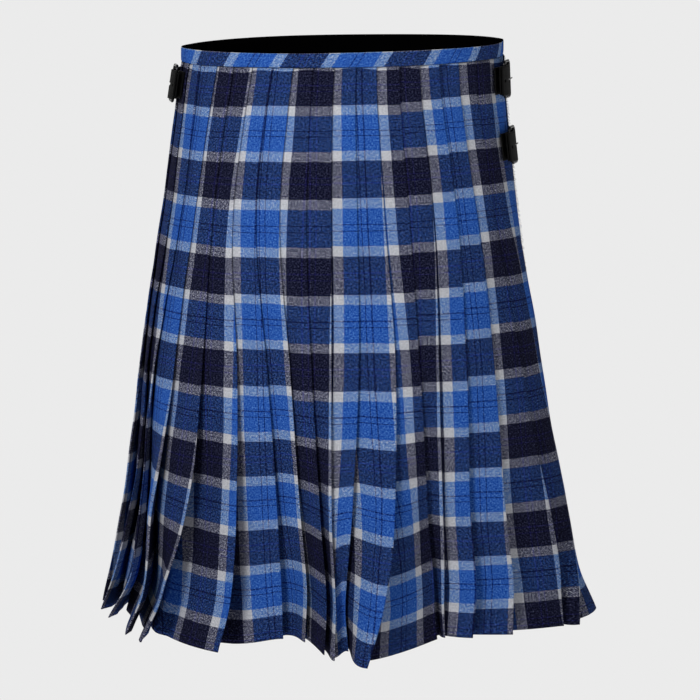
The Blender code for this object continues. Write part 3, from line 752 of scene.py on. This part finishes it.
# ------------------------------------------------------------------ the waistband
# A strip of the tartan, folded over a stiff tape and sewn on all round.  It is cut along a blue row
# of the weave and pulled a little askew, and black tape faces it inside.
BAND_WALL = 2.4
BAND_HEIGHT = 15.0
BAND_EASE = 13.0            # degrees in which it steps from one layer to the next
BAND_COLUMNS = 330
BAND_RING = 20
BAND_REPEAT = 0.916         # its repeat against the kilt cloth's, from the skew
BAND_SKEW = 0.6
BAND_BLUE_AT = 31.4         # degrees to the wearer's left where a blue stripe is centred
BAND_BLUE_U = 29.7          # the middle of a blue stripe along the cloth
BAND_ROW = 34.6             # where on the warp its lower edge is cut
BAND_SQUARE = 0.45          # how square its section is, where 1 is an ellipse
BAND_END = 13.0             # how far its black tape wraps round the inner end
TAPE_FROM = 2.0             # the height where the tape inside it starts
black_tape, _, _ = new_material("black_lining_cloth", 0.95, Specular_IOR_Level=0.0,
                                Base_Color=(0.0009, 0.0009, 0.001, 1))


def band_depth(angle):
    """Depth of the band's middle at an angle that runs on past 360 to the over apron."""
    left, right = left_seam(0), right_seam(0)
    if angle < right:
        return apron_depth(angle, 0) + APRON_GAP
    if angle > 360.0 + left:
        return apron_depth(angle - 360.0, 0)
    rise = min((angle - right) / BAND_EASE, 1.0)
    near = eased(1 - (360.0 + left - angle) / BAND_EASE)
    return (BAND_WALL - WALL) / 2 * rise * (1 - near) + 2 * level(0, "layer") * near


band_last = 360.0 + over_edges(0)[1]
band_angles = [band_last + (UNDER_EDGE - band_last) * c / BAND_COLUMNS
               for c in range(BAND_COLUMNS + 1)]
band_lengths = [0.0]
for before, after in zip(band_angles, band_angles[1:]):
    band_lengths.append(band_lengths[-1] + (around(-after, 0) - around(-before, 0)).length / MM)
blue_column = min(range(BAND_COLUMNS), key=lambda c: abs(band_angles[c] - 360.0 - BAND_BLUE_AT))


def band_spot(c, r):
    """A point on the band's section, closed to a line at both ends, and its place on the cloth."""
    a = 2 * math.pi * r / BAND_RING
    out, up = (math.copysign(abs(f) ** BAND_SQUARE, f) for f in (-math.sin(a), -math.cos(a)))
    if c in (0, BAND_COLUMNS):
        out = up = 0.0
    angle = band_angles[c]
    puff = 0.35 * math.sin(c * 0.9) * math.sin(c * 0.23 + 2.0)
    height = BAND_HEIGHT / 2 * (1 + up) + 0.25 * math.sin(c * 0.11) * up
    point = around(-angle, height, -band_depth(angle) + (BAND_WALL / 2 + puff * 0.3) * out)
    along = (band_lengths[c] - band_lengths[blue_column]) * BAND_REPEAT + BAND_BLUE_U
    along -= BAND_SKEW * (height - BAND_HEIGHT / 2)
    return point, (along * MM, (BAND_ROW + height) * MM)


waistband = grid_piece("cloth_waistband", BAND_COLUMNS, BAND_RING, band_spot, kilt_tartan, 0)
waistband.data.materials.append(black_tape)
mending = bmesh.new()
mending.from_mesh(waistband.data)
bmesh.ops.remove_doubles(mending, verts=mending.verts, dist=1e-6)
mending.normal_update()
band_uv = mending.loops.layers.uv["cloth"]
band_end = band_spot(BAND_COLUMNS, 0)[1][0]
for face in mending.faces:
    middle = face.calc_center_median()
    outward = Vector((middle.x, middle.y, 0)).normalized()
    inside = face.normal.dot(outward) < 0.35 and middle.z > TAPE_FROM * MM
    if inside or face.loops[0][band_uv].uv.x > band_end - BAND_END * MM:
        face.material_index = 1
mending.to_mesh(waistband.data)
mending.free()
waistband.data.shade_smooth()
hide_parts("waistband")

# ------------------------------------------------------------------ the lining
# Black cotton, cut to the depth of the hips and sewn in behind the waistband.  Below that it
# hangs loose inside the kilt, a little rumpled.
LINING_TOP = 13.0
LINING_DEPTH = 95.0
LINING_CLEAR = 1.3
LINING_BAND_CLEAR = 0.8
LINING_EASE = 26.0          # degrees in which it steps from the aprons to the pleats
LINING_TURN = 350.0
LINING_COLUMNS = 260
LINING_ROWS = 28


def lining_depth(angle, z):
    """How far behind the outer form the lining lies, clear of every layer."""
    turn = angle % 360.0
    left, right = left_seam(0), right_seam(0)
    clear = WALL + LINING_CLEAR
    band_clear = (BAND_WALL + WALL) / 2 + LINING_BAND_CLEAR
    below = min((LINING_TOP - z) / LINING_TOP, 1.0)
    pleats = 6 * level(z, "layer") + clear
    if left < turn < right:
        ahead = apron_depth(turn, z) + APRON_GAP
        share = eased(min(turn - left, right - turn) / LINING_EASE)
        inside = max(ahead + clear, pleats * (1 - share) + (ahead + clear) * share)
        return (ahead + band_clear) * (1 - below) + inside * below
    band = band_depth(turn + 360.0 if turn < right else turn)
    return (band + band_clear) * (1 - below) + pleats * below


def lining_spot(c, r):
    """A point of the rumpled lining, and its place on the cloth."""
    angle = UNDER_EDGE + 1.5 + LINING_TURN * (1 - c / LINING_COLUMNS)
    z = LINING_TOP - (LINING_TOP + LINING_DEPTH) * r / LINING_ROWS
    waves = math.sin(angle * 0.31 + z * 0.04) * math.sin(angle * 0.13)
    rumple = 0.8 * eased(-z / 50.0) * (1 + waves)
    return around(-angle, z, -lining_depth(angle, z) - rumple), (angle * 0.0026, z * MM)


lining = grid_piece("cloth_lining", LINING_COLUMNS, LINING_ROWS, lining_spot, black_tape, 0.5)
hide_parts("waist_lining")

# ------------------------------------------------------------------ straps and buckles
# Three black leather straps hold the aprons.  Each goes through a plated buckle whose heel bar
# hangs in a tab of leather, folded round it and sewn to the cloth.  A strap comes from under the
# front bar and runs on over the heel bar and the tab.
STRAP_WIDTH = 30.0
STRAP_WALL = 1.8
TAB_WIDTH = 28.0
TAB_WALL = 1.5
TAB_LENGTH = 20.0
BUCKLE_HEIGHT = 40.0
BUCKLE_REACH = 22.0         # from its heel bar to its front bar
BUCKLE_CORNER = 4.0
BAR_RADIUS = 1.5
PRONG_RADIUS = 0.8
LEATHER_GAP = 0.4
SLOT_REACH = 4.6
CLOTH_FACE = WALL / 2 + LEATHER_GAP
TAB_LOW = CLOTH_FACE + TAB_WALL / 2
HEEL_OUT = CLOTH_FACE + TAB_WALL + LEATHER_GAP + BAR_RADIUS
TAB_HIGH = HEEL_OUT + BAR_RADIUS + LEATHER_GAP + TAB_WALL / 2
FRONT_OUT = HEEL_OUT + 2.2
STRAP_UNDER = FRONT_OUT - BAR_RADIUS - 2 * LEATHER_GAP - STRAP_WALL / 2
STRAP_OVER = TAB_HIGH + TAB_WALL / 2 + LEATHER_GAP + STRAP_WALL / 2
STRAP_SEWN = APRON_GAP + WALL / 2 + LEATHER_GAP + STRAP_WALL / 2
# Each slit or hole: its span, counted in points of the leather's path, and its half height.
TAB_SLITS = ((2.0, 10.0, 2.6),)
STRAP_HOLES = ((2.0, 5.0, 2.2), (0.55, 0.8, 1.6), (9.3, 9.5, 1.6))
PATH_STEPS = 8              # faces from one point of a leather's path to the next
LEATHER_ROWS = 20
LEATHER_BEVEL = 0.35
# One row for each strap: its heel bar's angle and height, and the side its front bar lies on.
STRAPS = (
    ("left_waist", -82.0, -23.0, -1),
    ("right_waist", 77.5, -23.0, 1),
    ("right_hip", 79.0, -91.0, 1),
)

leather, leather_inputs, hide = new_material("black_strap_leather", 0.5, Specular_IOR_Level=0.05)
on_hide = hide.node("ShaderNodeTexCoord", output=3)
pores = on_hide.node("ShaderNodeTexVoronoi", on_hide, None, 900.0, output=0)
creases = on_hide.noise(160.0, 4.0, 0.6)
(creases * 0.005 + 0.001).grey().into(leather_inputs["Base Color"])
(creases * 0.25 + 0.45).into(leather_inputs["Roughness"])
leather_bump = hide.node("ShaderNodeBump", 0.3, 0.0002, None, pores * 0.5 + creases)
leather_bump.into(leather_inputs["Normal"])

steel, _, _ = new_material("dark_plated_steel", 0.28, Metallic=1.0,
                           Base_Color=(0.035, 0.035, 0.038, 1))
stitch_thread, _, _ = new_material("black_stitch_thread", 0.6,
                                   Base_Color=(0.008, 0.008, 0.009, 1))


def shift(angle, z, side, length):
    """An angle moved by a length towards one side."""
    return angle + side * degrees_for(length, angle, z)


def leather_piece(name, path, z, width, wall, slits):
    """A strip of leather on a path of angles and outs, cut through at its slits and holes."""
    columns, rows = PATH_STEPS * (len(path) - 1), LEATHER_ROWS

    def place(c, r):
        angle, out = along_rows(path, c / PATH_STEPS)
        return around(angle, z + width * (0.5 - r / rows), out), (c * MM, r * MM)

    holes = [(c, r) for c in range(columns) for r in range(rows)
             for first, last, half in slits
             if first <= (c + 0.5) / PATH_STEPS <= last
             and abs(width * (0.5 - (r + 0.5) / rows)) < half]
    piece = grid_piece(name, columns, rows, place, leather, wall, holes)
    edge = piece.modifiers.new("edge", "BEVEL")
    edge.width = LEATHER_BEVEL * MM
    edge.segments = 2
    edge.limit_method = "ANGLE"
    edge.angle_limit = math.radians(50)
    return piece


def tab_path(heel, z, side):
    """From its sewn end under the buckle, round the heel bar and back on top."""
    spine = [(-TAB_LENGTH, TAB_LOW), (-TAB_LENGTH / 2, TAB_LOW), (-SLOT_REACH, TAB_LOW),
             (0.0, TAB_LOW)]
    turn = TAB_HIGH - HEEL_OUT
    spine += [(turn * math.sin(math.pi * k / 6), HEEL_OUT - turn * math.cos(math.pi * k / 6))
              for k in range(1, 6)]
    spine += [(0.0, TAB_HIGH), (-SLOT_REACH, TAB_HIGH), (-TAB_LENGTH / 2, TAB_HIGH),
              (0.6 - TAB_LENGTH, TAB_HIGH)]
    return [(shift(heel, z, side, length), out) for length, out in spine]


def strap_in_buckle(heel, z, side):
    """The strap's tail on its tab, and its run down under the front bar."""
    path = [(shift(heel, z, side, length), STRAP_OVER) for length in (-18.0, -9.0)]
    for share in (-0.09, 0.12, 0.34, 0.56, 0.74, 0.88, 1.14):
        fall = min(max(share - 0.12, 0.0) / 0.72, 1.0)
        path.append((shift(heel, z, side, BUCKLE_REACH * share),
                     STRAP_OVER + (STRAP_UNDER - STRAP_OVER) * fall))
    return path


def strap_on_apron(z):
    """A right strap's run over the free edge to where it is sewn on the over apron."""
    edge = 360.0 - over_edges(z)[1]
    return [(edge - 5.0, STRAP_SEWN + 1.6)] + [(edge + 2.0 + 6.5 * k, STRAP_SEWN)
                                               for k in range(5)]


def strap_through_slit(z):
    """The left strap's run through the over apron's slit and along the under apron."""
    inner = (WALL + STRAP_WALL) / 2 + LEATHER_GAP - APRON_GAP
    return [(-106.5, 0.9), (-110.6, 0.4), (-115.6, inner - apron_depth(UNDER_EDGE, z))] + [
        (-angle, inner - apron_depth(angle, z)) for angle in (120.0, 127.0, 134.0, 141.0)]


def stitches(name, spots):
    """Short lengths of thread, each between two points."""
    mesh = bmesh.new()
    for first, last in spots:
        along = last - first
        turn = along.to_track_quat("X", "Z").to_matrix().to_4x4()
        stretch = Matrix.Diagonal((along.length / 2, 0.3 * MM, 0.3 * MM, 1))
        bmesh.ops.create_uvsphere(mesh, u_segments=6, v_segments=4, radius=1.0,
                                  matrix=Matrix.Translation((first + last) / 2) @ turn @ stretch)
    data = bpy.data.meshes.new(name)
    mesh.to_mesh(data)
    mesh.free()
    data.shade_smooth()
    data.materials.append(stitch_thread)
    piece = add_object(name, data)
    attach(piece, "root")
    return piece


def tab_stitches(heel, z, side):
    """A row of stitches along each long edge of a tab."""
    spots = []
    for row in (-1, 1):
        height = z + row * (TAB_WIDTH / 2 - 2.0)
        for k in range(5):
            spots.append([around(shift(heel, z, side, along + 3.1 * k - TAB_LENGTH), height,
                                 TAB_HIGH + TAB_WALL / 2) for along in (2.0, 4.2)])
    return spots


def end_stitches(z, angles):
    """A row of stitches across the strap at each angle."""
    spots = []
    for k in range(7):
        height = z - STRAP_WIDTH / 2 + 3.0 + 4.0 * k
        for angle in angles:
            spots.append([around(angle, height + rise, STRAP_SEWN + STRAP_WALL / 2)
                          for rise in (-1.2, 1.2)])
    return spots


def bar(name, points, radius, closed, matrix):
    """A round bar of plated steel through points."""
    data = bpy.data.curves.new(name, "CURVE")
    data.dimensions = "3D"
    data.bevel_depth = radius * MM
    data.bevel_resolution = 4
    data.use_fill_caps = True
    spline = data.splines.new("POLY")
    spline.points.add(len(points) - 1)
    for spot, point in zip(spline.points, points):
        spot.co = (*(matrix @ (point * MM)), 1)
    spline.use_cyclic_u = closed
    spline.use_smooth = True
    data.materials.append(steel)
    piece = add_object(name, data)
    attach(piece, "root")
    return piece


def frame_points():
    """The bent bar of a buckle: a rectangle with round corners."""
    right, top = BUCKLE_REACH - BUCKLE_CORNER, BUCKLE_HEIGHT / 2 - BAR_RADIUS - BUCKLE_CORNER
    points = []
    for middle_x, middle_y, begin in ((right, top, 0), (BUCKLE_CORNER, top, 90),
                                      (BUCKLE_CORNER, -top, 180), (right, -top, 270)):
        for k in range(9):
            turn = math.radians(begin + 90 * k / 8)
            points.append(Vector((middle_x + BUCKLE_CORNER * math.cos(turn),
                                  middle_y + BUCKLE_CORNER * math.sin(turn), 0)))
    return points


def tongue_points():
    """The tongue: hooked round the heel bar, and bent down to rest on the front bar."""
    hook = BAR_RADIUS + LEATHER_GAP + PRONG_RADIUS
    rest = BAR_RADIUS + PRONG_RADIUS + 0.25
    points = [Vector((hook * math.cos(math.radians(turn)), 0, hook * math.sin(math.radians(turn))))
              for turn in range(-75, -270, -15)]
    return points + [Vector((BUCKLE_REACH * share, 0, up)) for share, up in (
        (0.3, hook), (0.5, hook - 0.05), (0.7, rest + 0.45), (0.85, rest + 0.15), (1.0, rest),
        (1.1, rest - 0.3))]


def buckle_place(heel, z, side):
    """A matrix whose X runs from the heel bar to the front bar, Y up the cloth, Z outwards."""
    centre = around(heel, z, HEEL_OUT)
    ahead = around(shift(heel, z, side, BUCKLE_REACH), z, FRONT_OUT) - centre
    along = ahead.normalized()
    up = around(heel, z + 10, HEEL_OUT) - around(heel, z - 10, HEEL_OUT)
    out = along.cross(up).normalized() * side
    up = out.cross(along).normalized()
    turn = Matrix((along, up, out)).transposed().to_4x4()
    return Matrix.Translation(centre) @ turn


for strap_name, heel, z, side in STRAPS:
    tab = leather_piece("leather_tab_" + strap_name, tab_path(heel, z, side), z, TAB_WIDTH,
                        TAB_WALL, TAB_SLITS)
    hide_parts("buckle_tab_" + strap_name)
    sewn = tab_stitches(heel, z, side)
    path = strap_in_buckle(heel, z, side)
    if side > 0:
        path += strap_on_apron(z)
        sewn += end_stitches(z, (path[-3][0], path[-1][0] - 0.8))
    else:
        path += strap_through_slit(z)
    strap = leather_piece("leather_strap_" + strap_name, path, z, STRAP_WIDTH, STRAP_WALL,
                          STRAP_HOLES)
    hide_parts("strap_" + strap_name)
    place_buckle = buckle_place(heel, z, side)
    frame_bar = bar("buckle_bar_" + strap_name, frame_points(), BAR_RADIUS, True, place_buckle)
    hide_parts("buckle_frame_" + strap_name)
    prong = bar("buckle_tongue_" + strap_name, tongue_points(), PRONG_RADIUS, False, place_buckle)
    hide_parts("buckle_prong_" + strap_name)
    stitches("stitches_" + strap_name, sewn)

# ------------------------------------------------------------------ floor, light and camera
# A pale floor that glows an even grey, with a painted shadow that dims its middle under the kilt.
# The main lamp is soft, and stands high behind the wearer's left.  Two wide, weak suns fill in from
# behind the right and from the front.
FLOOR_LIGHT = 0.831
FLOOR_RADIUS = 60.0
FLOOR_HEIGHT = -1.05
PAINTED_SHADOW_FROM, PAINTED_SHADOW_TO = 1.1, 1.75        # between these the floor rises from the painted shadow in its middle
PAINTED_SHADOW_SHARE = 0.4
WORLD_LIGHT = 0.1
floor_data = bpy.data.meshes.new("floor")
ground = bmesh.new()
bmesh.ops.create_circle(ground, cap_ends=True, segments=96, radius=FLOOR_RADIUS)
bmesh.ops.translate(ground, verts=ground.verts, vec=(0, 0, FLOOR_HEIGHT))
ground.to_mesh(floor_data)
ground.free()
floor = add_object("floor", floor_data)
floor_material, floor_inputs, paint = new_material(
    "pale_floor", 1.0, Specular_IOR_Level=0.0, Base_Color=(0, 0, 0, 1),
    Emission_Strength=FLOOR_LIGHT)
place_on_floor = paint.node("ShaderNodeTexCoord", output=3)
distance = paint.node("ShaderNodeVectorMath", place_on_floor, operation="LENGTH", output=1)
# the glow is dimmed in the middle, a painted shadow under the kilt
glow_and_painted_shadow = paint.node("ShaderNodeMapRange", distance, PAINTED_SHADOW_FROM, PAINTED_SHADOW_TO, PAINTED_SHADOW_SHARE, 1.0,
                  interpolation_type="SMOOTHSTEP")
glow_and_painted_shadow.grey().into(floor_inputs["Emission Color"])
floor_data.materials.append(floor_material)

world = bpy.data.worlds.new("studio")
world.use_nodes = True
world.node_tree.nodes["Background"].inputs[0].default_value = (0.97, 0.98, 1.0, 1)
world.node_tree.nodes["Background"].inputs[1].default_value = WORLD_LIGHT
bpy.context.scene.world = world


def aim_lamp(lamp, direction):
    """Turns a lamp to shine in a direction."""
    lamp.rotation_mode = "QUATERNION"
    lamp.rotation_quaternion = Vector(direction).to_track_quat("-Z", "Y")


# name, strength, spread in degrees, and the direction it shines in
for lamp_name, strength, spread, direction in (
    ("fill", 0.35, 60.0, (-0.7, 0.8, -0.35)),
    ("back", 0.7, 60.0, (0.1, -0.9, -0.6)),
):
    lamp_data = bpy.data.lights.new(lamp_name, "SUN")
    lamp_data.energy = strength
    lamp_data.angle = math.radians(spread)
    aim_lamp(add_object(lamp_name, lamp_data), direction)

key_data = bpy.data.lights.new("key", "AREA")
key_data.energy = 46.0
key_data.size = 0.7
key = add_object("key", key_data)
key.location = (-1.05, -2.1, 1.25)
aim_lamp(key, Vector((0, 0, -0.1)) - key.location)

camera_data = bpy.data.cameras.new("camera")
camera_data.lens = 197.7
camera_data.sensor_width = 36.0
camera_data.clip_end = 200.0
camera = add_object("camera", camera_data)
camera.location = (0.0074, -4.0, 0.3203)
camera.rotation_euler = (math.pi / 2 - 0.1558, 0, 0)
bpy.context.scene.camera = camera
bpy.context.scene.view_settings.view_transform = "Standard"
